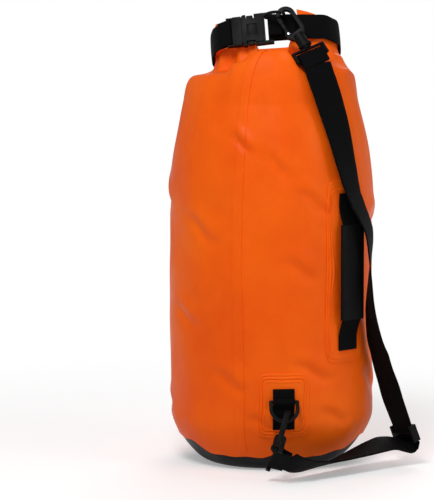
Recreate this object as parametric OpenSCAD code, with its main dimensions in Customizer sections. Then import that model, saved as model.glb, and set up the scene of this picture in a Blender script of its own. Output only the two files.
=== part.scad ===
// Roll-top dry bag: a welded tube of coated fabric with a black base, a rolled mouth
// clipped into a ring, a side handle, two D-rings and a clip-on shoulder strap.
// Millimetres. The bag stands on Z = 0 with its axis on the Z axis. The side that
// carries the buckle and the D-rings faces -Y.

/* [Bag] */
// Outer diameter of the filled bag
bag_d = 238; // [200:2:280]
// Height at which the wall begins to draw in under the shoulders
wall_h = 318; // [300:2:380]
// Height of the drawn-in stretch above the wall
draw_in_h = 107; // [90:1:130]
// How much smaller the radius is at the top of that stretch
draw_in = 17; // [8:1:24]
// Diameter of the flat that the bag stands on
foot_d = 150; // [120:2:170]
// Height of the rounding between the flat and the wall
foot_round = 58; // [40:1:60]
// Thickness of the coated fabric
fabric_t = 1.2; // [0.8:0.1:1.6]
// Height of the fabric's lower hem above the ground
hem_h = 12; // [8:1:16]

/* [Closure ring] */
// Width of the ring, side to side
ring_w = 152; // [140:1:170]
// Depth of the ring, front to back
ring_d = 105; // [96:1:120]
// Height of the ring's centre above the shoulders' joint
ring_rise = 65; // [62:1:76]
// Distance of the ring's centre to the right of the bag's axis
ring_shift = 5; // [0:1:8]
// Forward tilt of the ring, degrees
ring_tilt = 24; // [20:1:26]
// Sideways tilt of the ring, degrees
ring_roll = 4; // [0:1:5]
// Width of the closure and handle webbing
band_w = 30; // [28:1:32]
// Thickness of the webbing
web_t = 2; // [1.6:0.1:2.4]
// Thickness of the rolled mouth behind the band
roll_t = 8; // [7:0.5:9]

/* [Buckle] */
// Height of the buckle across the webbing
buckle_w = 38; // [37:1:42]
// Thickness of the buckle
buckle_t = 9; // [8:0.5:11]

/* [Rings and hooks] */
// Wire diameter of the lower D-ring
low_wire = 4.2; // [4:0.1:5]
// Inside width of the lower D-ring
low_gap = 26.5; // [26:0.5:32]
// Width of the webbing that holds the lower D-ring
low_web_w = 25; // [20:1:25]
// Wire diameter of the top D-ring
top_wire = 3.6; // [3:0.1:4]
// Inside width of the top D-ring
top_gap = 17; // [16.4:0.2:18]
// Inside radius of the snap hooks
hook_r = 6.8; // [6.2:0.1:7.4]
// Thickness of the snap hooks' bar
hook_bar = 4.4; // [4:0.1:5]

/* [Strap and handle] */
// Width of the shoulder strap
strap_w = 36; // [30:1:38]
// Thickness of the shoulder strap
strap_t = 2.6; // [2:0.1:3]
// Direction of the side handle round the bag, degrees from the front
handle_az = 46; // [44:1:49]
// Distance of the grip's middle from the wall
grip_out = 8; // [7:0.5:10]
// Width of the grip
grip_w = 36; // [34:1:40]
// Thickness of the grip
grip_t = 8; // [7:0.5:9]

/* [Hidden] */
$fn = 64;

orange = "#F26A1B";
black = "#1A1C20";
grey = "#3A3D42";

fit = 0.05;          // radial clearance of a running fit
gap = 0.3;           // clearance between pieces that don't touch
bag_r = bag_d / 2;
foot_r = foot_d / 2;
foot_power = 1.4;    // how full the rounding at the foot is
draw_power = 1.6;    // how late the wall draws in
joint_z = wall_h + draw_in_h;
joint_r = bag_r - draw_in;

// The bag's outer skin: its radius at a set of heights, joined by straight stretches
function foot_curve(z) =
    let (c = pow(1 - z / foot_round, 1 / foot_power))
    foot_r + (bag_r - foot_r) * pow(sqrt(max(0, 1 - c * c)), foot_power);
foot_steps = 10;
draw_steps = 8;
skin_table = concat(
    [for (i = [0 : foot_steps]) let (z = foot_round * i / foot_steps) [z, foot_curve(z)]],
    [for (i = [0 : draw_steps]) [wall_h + draw_in_h * i / draw_steps, bag_r - draw_in * pow(i / draw_steps, draw_power)]]);
function skin_r(z) = lookup(z, skin_table);
// Outline of the skin from z0 to z1, moved outwards by off
function skin_line(z0, z1, off) =
    concat([[skin_r(z0) + off, z0]],
           [for (row = skin_table) if (row[0] > z0 + 0.5 && row[0] < z1 - 0.5) [row[1] + off, row[0]]],
           [[skin_r(z1) + off, z1]]);
function back(list) = [for (i = [len(list) - 1 : -1 : 0]) list[i]];

// A curved plate that lies on the skin, centred on an azimuth
module skin_patch(az, half_angle, z0, z1, off, t) {
    rotate([0, 0, az - 90 - half_angle])
        rotate_extrude(angle = 2 * half_angle, $fn = 128)
            polygon(concat(skin_line(z0, z1, off), back(skin_line(z0, z1, off + t))));
}

// Places children on the wall: X to the right, Y up, Z straight out, from the radius out
module at_wall(az, out, z) {
    rotate([0, 0, az]) translate([0, -out, z]) rotate([90, 0, 0]) children();
}

// ---- Body ----
module body_tube() {
    color(orange) rotate_extrude($fn = 128)
        polygon(concat(skin_line(hem_h, joint_z, 0), back(skin_line(hem_h, joint_z, -fabric_t))));
}

base_t = 1.6;
base_up = 46;        // height to which the base's rim reaches inside the tube
module base_panel() {
    inner = -fabric_t - 0.1;
    outside = concat([[0, 0], [foot_r - 2.5, 0], [skin_r(2) + inner, 2]], skin_line(6, base_up, inner));
    inside = concat(back(skin_line(8, base_up, inner - base_t)), [[foot_r - 4, base_t + 1], [0, base_t + 1]]);
    color(black) rotate_extrude($fn = 128) polygon(concat(outside, inside));
}

// ---- Shoulders: a low dome cut by a slanting plane ----
plane_tilt = 19.5;
plane_z = ring_z() - 25;
function ring_z() = joint_z + ring_rise;
module dome(shrink) {
    rotate_extrude($fn = 128)
        polygon([[0, joint_z + gap], [joint_r - shrink, joint_z + gap],
                 [joint_r - 1 - shrink, joint_z + 20 - shrink / 2],
                 [joint_r - 5 - shrink, joint_z + 35 - shrink],
                 [joint_r - 14 - shrink, joint_z + 48 - shrink],
                 [joint_r - 28 - shrink, joint_z + 59 - shrink],
                 [joint_r - 52 - shrink, joint_z + 67 - shrink], [0, joint_z + 70 - shrink]]);
}
module below_plane(drop) {
    translate([0, 0, plane_z - drop]) rotate([-plane_tilt, 0, 0])
        translate([-2 * bag_r, -2 * bag_r, -2 * bag_d]) cube([2 * bag_d, 2 * bag_d, 2 * bag_d]);
}
module shoulder_panel() {
    color(orange) difference() {
        intersection() {
            dome(0);
            below_plane(0);
        }
        intersection() {
            translate([0, 0, -gap - 1]) dome(fabric_t);
            below_plane(fabric_t);
        }
    }
}

// ---- Closure ring, drawn flat and then tilted ----
ring_power = 3;      // how square the ring's outline is
function ring_point(t, off) =
    let (a = ring_w / 2 + off, b = ring_d / 2 + off)
    [a * sign(cos(t)) * pow(abs(cos(t)), 2 / ring_power),
     b * sign(sin(t)) * pow(abs(sin(t)), 2 / ring_power)];
// Ends of the ring's pieces, as angles of the outline going round the far side
plug_meet_at = 215;  // where the plug's loop reaches the band
band_ends = [-88, plug_meet_at + 2];
roll_ends = [-80, 211];
inner_ends = [-76, 207];
neck_ends = [-84, 254];
function ring_arc(off, t0, t1) = [for (i = [0 : 60]) ring_point(t0 + (t1 - t0) * i / 60, off)];
module on_ring() {
    translate([ring_shift, 0, ring_z()]) rotate([-ring_tilt, 0, 0]) rotate([0, -ring_roll, 0]) children();
}
module ring_strip(off0, off1, w0, w1, ends) {
    translate([0, 0, w0]) linear_extrude(w1 - w0)
        polygon(concat(ring_arc(off0, ends[0], ends[1]), back(ring_arc(off1, ends[0], ends[1]))));
}
half_w = band_w / 2;
module closure_band() {
    color(black) on_ring() ring_strip(-web_t, 0, -half_w, half_w, band_ends);
}
roll_out = -web_t - 0.2;
roll_in = roll_out - roll_t;
module rolled_mouth() {
    color(orange) on_ring() {
        difference() {
            ring_strip(roll_in, roll_out, -half_w + 0.5, half_w - 0.5, roll_ends);
            ring_strip(roll_in + 1.8, roll_out - 1.8, -half_w + 3, half_w - 3, roll_ends + [2, -2]);
        }
        // the lip's corners stand above the band
        ring_strip(roll_out - 1.4, roll_out, half_w - 0.6, half_w + 8, [-78, -50]);
        ring_strip(roll_out - 1.4, roll_out, half_w - 0.6, half_w + 7, [203, 211]);
        ring_strip(roll_out - 1.4, roll_out, half_w - 0.6, half_w + 8, [118, 142]);
    }
}
module lip_stiffener() {
    color(grey) on_ring() ring_strip(roll_out - 3.4, roll_out - 2, -half_w + 4, half_w - 4, inner_ends);
}
module inner_lip_band() {
    color(black) on_ring() ring_strip(roll_in + 2, roll_out - 3.8, -half_w + 4, half_w - 4, inner_ends);
}
neck_t = 5;
neck_drop = 32;
module neck_folds() {
    color(orange) difference() {
        on_ring() ring_strip(roll_out - neck_t - 1, roll_out - 1, -half_w - neck_drop, -half_w + 0.2, neck_ends);
        below_plane(-0.1);
        // it falls away under the buckle
        in_buckle() flat(plug_end - 10, bar_x + socket_web_len + 4, -side_w - 1.2, side_w + 1.2, 30);
    }
}

// ---- Buckle: drawn in the ring's frame, U along the band and W across it ----
buckle_v = -ring_d / 2 + web_t / 2;
buckle_yaw = 8.6;    // the buckle follows the ring's curve
socket_x = [-40, -15];
bar_x = -6;
bar_r = 2;
side_w = buckle_w / 2;
cavity_w = side_w - 4.5;
pivot = [-43, 10.2];
prong_t = 4.8;
module flat(u0, u1, w0, w1, t) {
    translate([(u0 + u1) / 2, 0, (w0 + w1) / 2]) cube([u1 - u0, t, w1 - w0], center = true);
}
module in_buckle() {
    on_ring() translate([bar_x, buckle_v, 0]) rotate([0, 0, -buckle_yaw]) translate([-bar_x, 0, 0]) children();
}
module lying(t) {
    rotate([90, 0, 0]) linear_extrude(t, center = true) children();
}
module buckle_socket() {
    color(black) in_buckle() {
        difference() {
            union() {
                flat(socket_x[0], socket_x[1], -side_w + 3, side_w - 3, buckle_t);
                flat(socket_x[0] + 3, socket_x[1], -side_w, side_w, buckle_t - 2);
                lying(buckle_t - 2) for (s = [-1, 1]) {
                    translate([socket_x[0] + 3, s * (side_w - 3)]) circle(3);
                }
            }
            flat(socket_x[0] - 1, socket_x[1] - 3, -cavity_w, cavity_w, 5.6);
            for (s = [-1, 1]) {
                flat(-35, -25, min(s * (cavity_w - 1), s * 30), max(s * (cavity_w - 1), s * 30), buckle_t + 2);
            }
            // thumb rests
            for (s = [-1, 1]) {
                translate([-28, s * (buckle_t / 2 + 16.8), 0]) cylinder(r = 18, h = 14, center = true, $fn = 96);
            }
        }
        for (s = [-1, 1]) {
            flat(socket_x[1] - 1, bar_x + 2, min(s * (side_w - 3.5), s * side_w), max(s * (side_w - 3.5), s * side_w), 6.5);
        }
        translate([bar_x, 0, 0]) cylinder(r = bar_r, h = buckle_w - 5, center = true);
        flat(socket_x[1] - 1, socket_x[1] + 1.5, -side_w + 3, side_w - 3, 6.5);
    }
}
plug_end = -58;
plug_bar_x = -55.5;
plug_bar_r = 1.9;
module buckle_plug() {
    plug_w = side_w - 1.5;
    color(black) in_buckle() {
        difference() {
            union() {
                flat(-50, -40.4, -plug_w, plug_w, buckle_t - 0.6);
                flat(plug_end, -49, -plug_w, plug_w, 6);
                flat(-42, -20, -1.9, 1.9, 4.4);
            }
            flat(plug_end - 1, plug_bar_x + plug_bar_r + web_t + 0.2, -half_w - 1, half_w + 1, buckle_t);
            for (s = [-1, 1]) {
                flat(pivot[0], -39, min(s * 6.4, s * 15), max(s * 6.4, s * 15), prong_t + 0.4);
                translate([pivot[0], 0, s * pivot[1]]) rotate([90, 0, 0])
                    cylinder(r = 2 + fit, h = prong_t + 0.4, center = true);
            }
        }
        translate([plug_bar_x, 0, 0]) cylinder(r = plug_bar_r, h = 2 * plug_w - 1, center = true);
    }
}
// One sprung arm: its catch stands in the socket's side window
module prong(s) {
    top = side_w - 1;
    color(grey) in_buckle() mirror([0, 0, s < 0 ? 1 : 0]) lying(prong_t) {
        translate(pivot) circle(2);
        polygon([[-43, 8.6], [-24.5, 8.6], [-23.8, 10.5], [-26.4, cavity_w - 0.5], [-26.8, top],
                 [-34, top], [-34.4, 13.4], [-37, 12.2], [-43, 12]]);
    }
}
module buckle_prong_upper() { prong(1); }
module buckle_prong_lower() { prong(-1); }

// A loop of webbing round a bar: the two layers leave the bar towards side s
module web_loop(r, s, len, w) {
    linear_extrude(w, center = true) difference() {
        union() {
            circle(r + web_t);
            translate([s > 0 ? 0 : -len, -r - web_t]) square([len, 2 * (r + web_t)]);
        }
        circle(r + 0.1);
        translate([s > 0 ? 0 : -len - 1, -r - 0.1]) square([len + 1, 2 * (r + 0.1)]);
    }
}
socket_web_len = 27;
module socket_webbing() {
    color(black) in_buckle() translate([bar_x, 0, 0]) rotate([0, 0, buckle_yaw])
        web_loop(bar_r, 1, socket_web_len, band_w);
}
// The loop turns back to meet the band, which ends between its two layers
plug_meet = ring_point(plug_meet_at, -web_t / 2);
plug_bar_at = [bar_x + (plug_bar_x - bar_x) * cos(buckle_yaw), buckle_v - (plug_bar_x - bar_x) * sin(buckle_yaw)];
plug_web_len = norm(plug_meet - plug_bar_at);
plug_web_turn = atan2(plug_meet[1] - plug_bar_at[1], plug_bar_at[0] - plug_meet[0]) - buckle_yaw;
module plug_webbing() {
    color(black) in_buckle() translate([plug_bar_x, 0, 0]) rotate([0, 0, -plug_web_turn])
        web_loop(plug_bar_r, -1, plug_web_len, band_w);
}

// ---- Top D-ring in its webbing loop ----
top_r = top_gap / 2 + top_wire / 2;
top_leg = 11;
top_lean = 96;       // how far the ring has flopped forward from standing, degrees
top_bar = [-1.5, buckle_v - bar_r - web_t - top_wire / 2 - web_t - 0.3, 10];
top_loop_w = top_gap - 2.4;
top_hang = 8.6;      // how far along the ring's right leg the hook hangs
// A D-ring: straight bar on the X axis, the bow standing up along Z
module d_ring(r, wire, leg) {
    rotate([0, 90, 0]) cylinder(d = wire, h = 2 * r, center = true);
    for (s = [-1, 1]) {
        translate([s * r, 0, 0]) sphere(d = wire);
        translate([s * r, 0, 0]) cylinder(d = wire, h = leg);
    }
    translate([0, 0, leg]) rotate([90, 0, 0]) rotate_extrude(angle = 180) translate([r, 0]) circle(d = wire);
}
module top_d_ring() {
    color(black) on_ring() translate(top_bar) rotate([top_lean, 0, 0]) d_ring(top_r, top_wire, top_leg);
}
module top_ring_loop() {
    r = top_wire / 2;
    drop = 22;
    color(black) on_ring() translate(top_bar) rotate([90, 0, 90])
        linear_extrude(top_loop_w, center = true) difference() {
            union() {
                circle(r + web_t);
                translate([-r - web_t, -drop]) square([2 * (r + web_t), drop]);
            }
            circle(r + fit);
            translate([-r + 0.4, -drop + 8]) square([2 * r - 0.8, drop - 8]);
        }
}

// ---- Lower D-ring on its welded patch ----
low_az = 6;
patch_t = 0.9;
patch_off = 0.1;
low_patch_z = [43, 118];
low_bar_z = 86;
low_r = low_gap / 2 + low_wire / 2;
low_leg = 8;
low_lean = 30;       // how far the ring stands out from hanging, degrees
low_out = bag_r + patch_off + patch_t + 0.1;
low_bar_h = web_t + 0.4 + low_wire / 2;
module lower_patch() {
    color(orange) skin_patch(low_az, 14.8, low_patch_z[0], low_patch_z[1], patch_off, patch_t);
}
module lower_ring_webbing() {
    r = low_wire / 2;
    color(black) at_wall(low_az, low_out, low_bar_z) difference() {
        union() {
            translate([0, -9, web_t / 2]) cube([low_web_w, 48, web_t], center = true);
            translate([0, 0, low_bar_h]) rotate([0, 90, 0]) cylinder(r = r + web_t, h = low_web_w, center = true);
            translate([0, 0, low_bar_h / 2]) cube([low_web_w, 2 * (r + web_t), low_bar_h], center = true);
        }
        translate([0, 0, low_bar_h]) rotate([0, 90, 0]) cylinder(r = r + fit, h = low_web_w + 2, center = true);
    }
}
module lower_d_ring() {
    color(black) at_wall(low_az, low_out, low_bar_z) translate([0, 0, low_bar_h])
        rotate([90 - low_lean, 0, 0]) d_ring(low_r, low_wire, low_leg);
}

// ---- Side handle ----
handle_z = [141, 323];
handle_patch_z = [127, 338];
handle_out = bag_r + patch_off + patch_t + 0.1;
tab_rise = 5;      // height at which the sewn tab hands over to the free webbing
tab_len = 30;
module handle_patch() {
    color(orange) skin_patch(handle_az, 14.8, handle_patch_z[0], handle_patch_z[1], patch_off, patch_t);
}
// Side view of the webbing's line from a sewn end to the middle, as [along, out]
module side_ribbon(points) {
    // points run along the handle; the ribbon has the webbing's thickness
    n = len(points);
    rotate([90, 0, 90]) linear_extrude(band_w, center = true)
        polygon(concat([for (p = points) [p[0], p[1] + web_t / 2]],
                       [for (i = [n - 1 : -1 : 0]) [points[i][0], points[i][1] - web_t / 2]]));
}
module at_handle() {
    // X across the handle, Y up along it, Z out from the wall
    at_wall(handle_az, handle_out, handle_z[0]) children();
}
handle_len = handle_z[1] - handle_z[0];
module handle_tabs() {
    color(black) at_handle() for (m = [0, 1])
        translate([0, m * handle_len, 0]) mirror([0, m, 0])
            side_ribbon([[0, web_t / 2], [tab_len - 12, web_t / 2], [tab_len, tab_rise]]);
}
module handle_webbing() {
    line = [[tab_len + 0.5, tab_rise + 0.4], [tab_len + 5, grip_out - 1.2], [tab_len + 8, grip_out]];
    color(black) at_handle()
        side_ribbon(concat(line, [for (i = [2 : -1 : 0]) [handle_len - line[i][0], line[i][1]]]));
}
module handle_grip() {
    len0 = tab_len + 6;
    side = grip_w / 2 - grip_t / 2;
    color(grey) at_handle() translate([0, len0, grip_out]) rotate([-90, 0, 0]) difference() {
        linear_extrude(handle_len - 2 * len0) {
            square([2 * side, grip_t], center = true);
            for (s = [-1, 1]) translate([s * side, 0]) circle(d = grip_t);
        }
        translate([0, 0, (handle_len - 2 * len0) / 2])
            cube([band_w + 0.4, web_t + 0.4, handle_len], center = true);
        for (m = [0, 1]) translate([0, 0, m * (handle_len - 2 * len0)])
            cube([band_w + 0.4, grip_t - 2.8, 12], center = true);
    }
}

// ---- Snap hooks: Z runs from the eye to the bow, X across the opening ----
barrel_r = 7;
barrel_h = 18;
bow_z = 45;
bow_mid = hook_r + hook_bar / 2;
hook_t = 6;
gate_pin = [bow_mid, barrel_h + 6];
gate_pin_r = 1.2;
nose_z = 38.5;
stem_r = 2.6;
function unit(v) = v / norm(v);
// Orthonormal frame: Z along z, X as near to x as it can be
module aim(at, z, x) {
    kz = unit(z);
    kx = unit(x - (x * kz) * kz);
    ky = cross(kz, kx);
    multmatrix([[kx[0], ky[0], kz[0], at[0]], [kx[1], ky[1], kz[1], at[1]],
                [kx[2], ky[2], kz[2], at[2]], [0, 0, 0, 1]]) children();
}
module hook_side() {
    // flat outline of the frame in X and Z
    difference() {
        union() {
            translate([0, bow_z]) circle(hook_r + hook_bar);
            translate([-bow_mid - hook_bar / 2, barrel_h + 4]) square([hook_bar, bow_z - barrel_h - 4]);
            polygon([[-bow_mid - hook_bar / 2, barrel_h + 5], [-bow_mid + hook_bar / 2, barrel_h + 5],
                     [bow_mid - 1, barrel_h + 3], [bow_mid + 3.6, gate_pin[1] + 1], [bow_mid + 3.2, barrel_h + 1],
                     [barrel_r - 1, barrel_h - 6], [-barrel_r + 1, barrel_h - 6]]);
            translate(gate_pin) circle(3.6);
            translate([bow_mid - hook_bar / 2, nose_z]) square([hook_bar, bow_z - nose_z]);
        }
        translate([0, bow_z]) circle(hook_r);
        translate([-hook_r, barrel_h + 5.5]) square([2 * hook_r, bow_z - barrel_h - 5.5]);
        translate([hook_r, gate_pin[1] + 3.8]) square([hook_bar + 3, nose_z - gate_pin[1] - 3.8]);
    }
}
module hook_frame() {
    difference() {
        union() {
            lying(hook_t) hook_side();
            cylinder(r = barrel_r, h = barrel_h);
            translate([0, 0, 1]) cylinder(r = barrel_r + 0.8, h = 2.4);
        }
        translate([0, 0, -1]) cylinder(r = stem_r + fit, h = barrel_h - 1);
        translate([0, 0, 6]) cylinder(r = stem_r + 1.4 + fit, h = 3.4);
        // slot for the gate's root
        translate([gate_pin[0] + 0.5, 0, gate_pin[1] + 1.8]) cube([9.4, 3.6, 9.2], center = true);
        translate([gate_pin[0], 0, gate_pin[1]]) rotate([90, 0, 0])
            cylinder(r = gate_pin_r + 0.01, h = hook_t + 2, center = true);
    }
}
module hook_gate() {
    x = gate_pin[0];
    difference() {
        union() {
            lying(3) {
                translate(gate_pin) circle(2.5);
                translate([x - 1.9, gate_pin[1]]) square([3.8, 8]);
            }
            lying(hook_t - 0.6) translate([x - 1.9, gate_pin[1] + 7]) square([3.8, nose_z - gate_pin[1] - 7.4]);
        }
        translate([gate_pin[0], 0, gate_pin[1]]) rotate([90, 0, 0])
            cylinder(r = gate_pin_r + fit, h = hook_t + 2, center = true);
    }
}
module gate_pin_rod() {
    translate([gate_pin[0], 0, gate_pin[1]]) rotate([90, 0, 0])
        cylinder(r = gate_pin_r, h = hook_t - 0.4, center = true);
}
eye_z = -10;         // height of the strap's bar
eye_bar = 2.2;
eye_in = strap_w + 1.2;
eye_side = 3;
module hook_eye() {
    // stem with its swivel head, and the loop that the strap passes through
    translate([0, 0, -3]) cylinder(r = stem_r, h = barrel_h);
    translate([0, 0, 6.2]) cylinder(r = stem_r + 1.4, h = 3);
    translate([0, 0, -2]) cylinder(r = 5.4, h = 1.7);
    difference() {
        translate([0, 0, (eye_z - 2 - eye_bar) / 2]) cube([eye_in + 2 * eye_side, 5, -eye_z + eye_bar - 2], center = true);
        translate([0, 0, (eye_z - 5) / 2 - 2.2]) cube([eye_in, 7, -eye_z + 1.2], center = true);
    }
    for (s = [-1, 1]) translate([s * (eye_in + eye_side) / 2, 0, (eye_z - 5) / 2 - 2])
        cube([eye_side, 5, -eye_z + 3], center = true);
    translate([0, 0, eye_z]) rotate([0, 90, 0]) cylinder(r = eye_bar, h = eye_in + 3, center = true);
}
strap_loop_len = 14;
// Webbing round the eye's bar; it leaves along -Z, or turned from that about the bar
module strap_loop(turn) {
    r = eye_bar;
    translate([0, 0, eye_z]) rotate([turn, 0, 0]) rotate([90, 0, 90]) difference() {
        union() {
            cylinder(r = r + web_t, h = strap_w, center = true);
            translate([0, 0, -strap_w / 2]) linear_extrude(strap_w)
                polygon([[strap_t / 2, -strap_loop_len], [r + web_t - 0.5, -0.5],
                         [-r - web_t + 0.5, -0.5], [-strap_t / 2, -strap_loop_len]]);
        }
        cylinder(r = r + 0.1, h = strap_w + 2, center = true);
    }
}

// Where each hook hangs: the point of the D-ring's wire that it holds, the direction
// from eye to bow, the direction across its opening, and that of the eye's bar
function rot_ring(p) =
    let (c = cos(ring_roll), s = sin(ring_roll), q = [c * p[0] - s * p[2], p[1], s * p[0] + c * p[2]],
         ct = cos(ring_tilt), st = sin(ring_tilt))
    [q[0] + ring_shift, ct * q[1] + st * q[2], -st * q[1] + ct * q[2] + ring_z()];
upper_wire = rot_ring(top_bar + [top_r, -top_hang * sin(top_lean), top_hang * cos(top_lean)]);
upper_dir = unit([-0.512, 0.38, 0.77]);
upper_across = [-0.9, -0.12, -0.38];
upper_bar_dir = [1, 0.5, 0.3];
upper_seat = [0.4, bow_z + hook_r - top_wire / 2 - 1.6];      // the wire's place in the opening
low_reach = low_leg + low_r;
lower_wire = let (out = low_out + low_bar_h + low_reach * sin(low_lean))
    [out * sin(low_az), -out * cos(low_az), low_bar_z - low_reach * cos(low_lean)];
lower_dir = unit([0.23, 0.7, 0.66]);
lower_across = [-0.098, 0.700, -0.708];
lower_bar_dir = [-0.31, 0.72, -0.58];
lower_seat = [0.4, bow_z - 1.9];
function square_to(x, z) = unit(x - (x * z) * z);
function eye_at(wire, dir, across, seat) = wire - seat[1] * dir - seat[0] * square_to(across, dir);
upper_eye = eye_at(upper_wire, upper_dir, upper_across, upper_seat) + [0, -0.73, 0.33];
lower_eye = eye_at(lower_wire, lower_dir, lower_across, lower_seat);
module at_upper() { aim(upper_eye, upper_dir, upper_across) children(); }
module at_lower() { aim(lower_eye, lower_dir, lower_across) children(); }
module at_upper_eye() { aim(upper_eye, upper_dir, upper_bar_dir) children(); }
module at_lower_eye() { aim(lower_eye, lower_dir, lower_bar_dir) children(); }

module upper_hook_frame() { color(black) at_upper() hook_frame(); }
module upper_hook_gate() { color(grey) at_upper() hook_gate(); }
module upper_gate_pin() { color("silver") at_upper() gate_pin_rod(); }
module upper_hook_eye() { color(black) at_upper_eye() hook_eye(); }
module lower_hook_frame() { color(black) at_lower() hook_frame(); }
module lower_hook_gate() { color(grey) at_lower() hook_gate(); }
module lower_gate_pin() { color("silver") at_lower() gate_pin_rod(); }
module lower_hook_eye() { color(black) at_lower_eye() hook_eye(); }
module upper_strap_loop() { color(black) at_upper_eye() strap_loop(0); }
module lower_strap_loop() { color(black) at_lower_eye() strap_loop(-90); }

// ---- Shoulder strap: a flat band swept along its route ----
// Each row is a point of the route and the direction across the strap there
route = [
    [[50.5, -86.4, 471.4], [0.8, 0.5, 0.3]],
    [[54.3, -90.5, 459.5], [0.86, 0.45, 0.2]],
    [[58.5, -92.5, 447.5], [0.86, 0.48, 0.15]],
    [[62.5, -93, 436], [0.86, 0.5, 0.1]],
    [[67.7, -92, 419], [0.84, 0.53, 0.05]],
    [[73, -91, 402], [0.82, 0.56, 0]],
    [[77.5, -91, 385], [0.8, 0.6, 0]],
    [[81.7, -92, 367], [0.78, 0.62, 0]],
    [[86, -91.5, 350], [0.74, 0.66, 0]],
    [[90, -89.5, 334], [0.7, 0.71, 0]],
    [[94.5, -88.2, 319], [0.65, 0.76, 0]],
    [[100, -86, 306], [0.6, 0.8, 0]],
    [[106, -85.2, 293], [0.56, 0.83, 0]],
    [[110.9, -84, 280], [0.52, 0.855, 0]],
    [[113, -80.5, 266], [0.46, 0.89, 0]],
    [[113.3, -78.1, 250], [0.44, 0.9, 0]],
    [[113.3, -77.6, 228], [0.44, 0.9, 0]],
    [[113.3, -77.3, 206], [0.46, 0.89, 0]],
    [[114.1, -75, 189], [0.46, 0.89, 0]],
    [[116.2, -69.8, 172], [0.4, 0.92, 0]],
    [[120.5, -61, 149], [0.27, 0.965, 0]],
    [[125.5, -54.6, 133], [0.11, 0.99, 0]],
    [[130.7, -49, 114], [-0.13, 0.99, 0]],
    [[137, -45, 95], [-0.32, 0.95, 0]],
    [[141.95, -42.4, 78], [-0.46, 0.885, -0.08]],
    [[147.65, -41.4, 62], [-0.495, 0.863, -0.1]],
    [[152.9, -40.9, 47.5], [-0.5, 0.86, -0.1]],
    [[157, -40.2, 36], [-0.5, 0.86, -0.1]],
    [[160.3, -40, 27], [-0.52, 0.85, -0.08]],
    [[155.5, -43.5, 22.5], [-0.55, 0.83, -0.05]],
    [[145.5, -51.5, 25], [-0.6, 0.8, -0.02]],
    [[134, -61, 27.3], [-0.64, 0.77, 0.02]],
    [[121, -71.5, 25.3], [-0.66, 0.75, 0.06]],
    [[107, -83.5, 22.2], [-0.67, 0.74, 0.1]],
    [[92.5, -96, 19], [-0.67, 0.73, 0.15]],
    [[78.5, -109.5, 16.2], [-0.65, 0.72, 0.22]],
    [[65, -122, 14.5], [-0.62, 0.7, 0.32]],
    [[51, -135.5, 14.5], [-0.57, 0.7, 0.4]],
    [[38, -148.5, 15.5], [-0.52, 0.74, 0.28]],
    [[27.5, -161, 19.5], [-0.42, 0.78, -0.15]],
    [[14.5, -170.9, 26.6], [-0.33, 0.7, -0.62]]
];
slider_row = 27;     // the route's point on which the slider stands
// One cross-section: a flat band with bevelled edges
function strap_section(c, t, w) =
    let (across = square_to(w, t), n = cross(t, across), a = strap_w / 2, b = strap_t / 2, e = 1)
    [for (q = [[a, -b + e], [a, b - e], [a - e, b], [-a + e, b], [-a, b - e], [-a, -b + e], [-a + e, -b], [a - e, -b]])
        c + q[0] * across + q[1] * n];
function heading(i) =
    let (n = len(route)) unit(route[min(i + 1, n - 1)][0] - route[max(i - 1, 0)][0]);
module shoulder_strap() {
    n = len(route);
    rings = [for (i = [0 : n - 1]) strap_section(route[i][0], heading(i), route[i][1])];
    points = [for (r = rings) for (p = r) p];
    sides = [for (i = [0 : n - 2]) for (j = [0 : 7])
        let (a = i * 8 + j, b = i * 8 + (j + 1) % 8) each [[a, a + 8, b], [b, a + 8, b + 8]]];
    ends = [[for (j = [0 : 7]) j], [for (j = [7 : -1 : 0]) (n - 1) * 8 + j]];
    color(black) polyhedron(points, concat(sides, ends));
}
module strap_slider() {
    // X across the strap, Y out of its face, Z along it
    in_w = strap_w + 1;
    bar = 2.6;
    long = 20;
    rail = 3;
    lift = strap_t / 2 + 3 * gap + bar / 2;
    color(black) aim(route[slider_row][0], heading(slider_row), route[slider_row][1]) {
        for (s = [-1, 1]) {
            translate([s * (in_w + rail) / 2, 0, 0]) cube([rail, 2 * lift + bar, long], center = true);
            translate([0, lift, s * (long - bar) / 2]) cube([in_w + rail, bar, bar], center = true);
        }
        translate([0, -lift, 0]) cube([in_w + rail, bar, bar + 2], center = true);
    }
}

body_tube();
base_panel();
shoulder_panel();
neck_folds();
rolled_mouth();
lip_stiffener();
inner_lip_band();
closure_band();
buckle_socket();
buckle_plug();
buckle_prong_upper();
buckle_prong_lower();
socket_webbing();
plug_webbing();
top_ring_loop();
top_d_ring();
lower_patch();
lower_ring_webbing();
lower_d_ring();
handle_patch();
handle_tabs();
handle_webbing();
handle_grip();
upper_hook_frame();
upper_hook_gate();
upper_gate_pin();
upper_hook_eye();
lower_hook_frame();
lower_hook_gate();
lower_gate_pin();
lower_hook_eye();
upper_strap_loop();
lower_strap_loop();
shoulder_strap();
strap_slider();
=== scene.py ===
import math

import bpy
from mathutils import Matrix, Vector, noise


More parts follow.
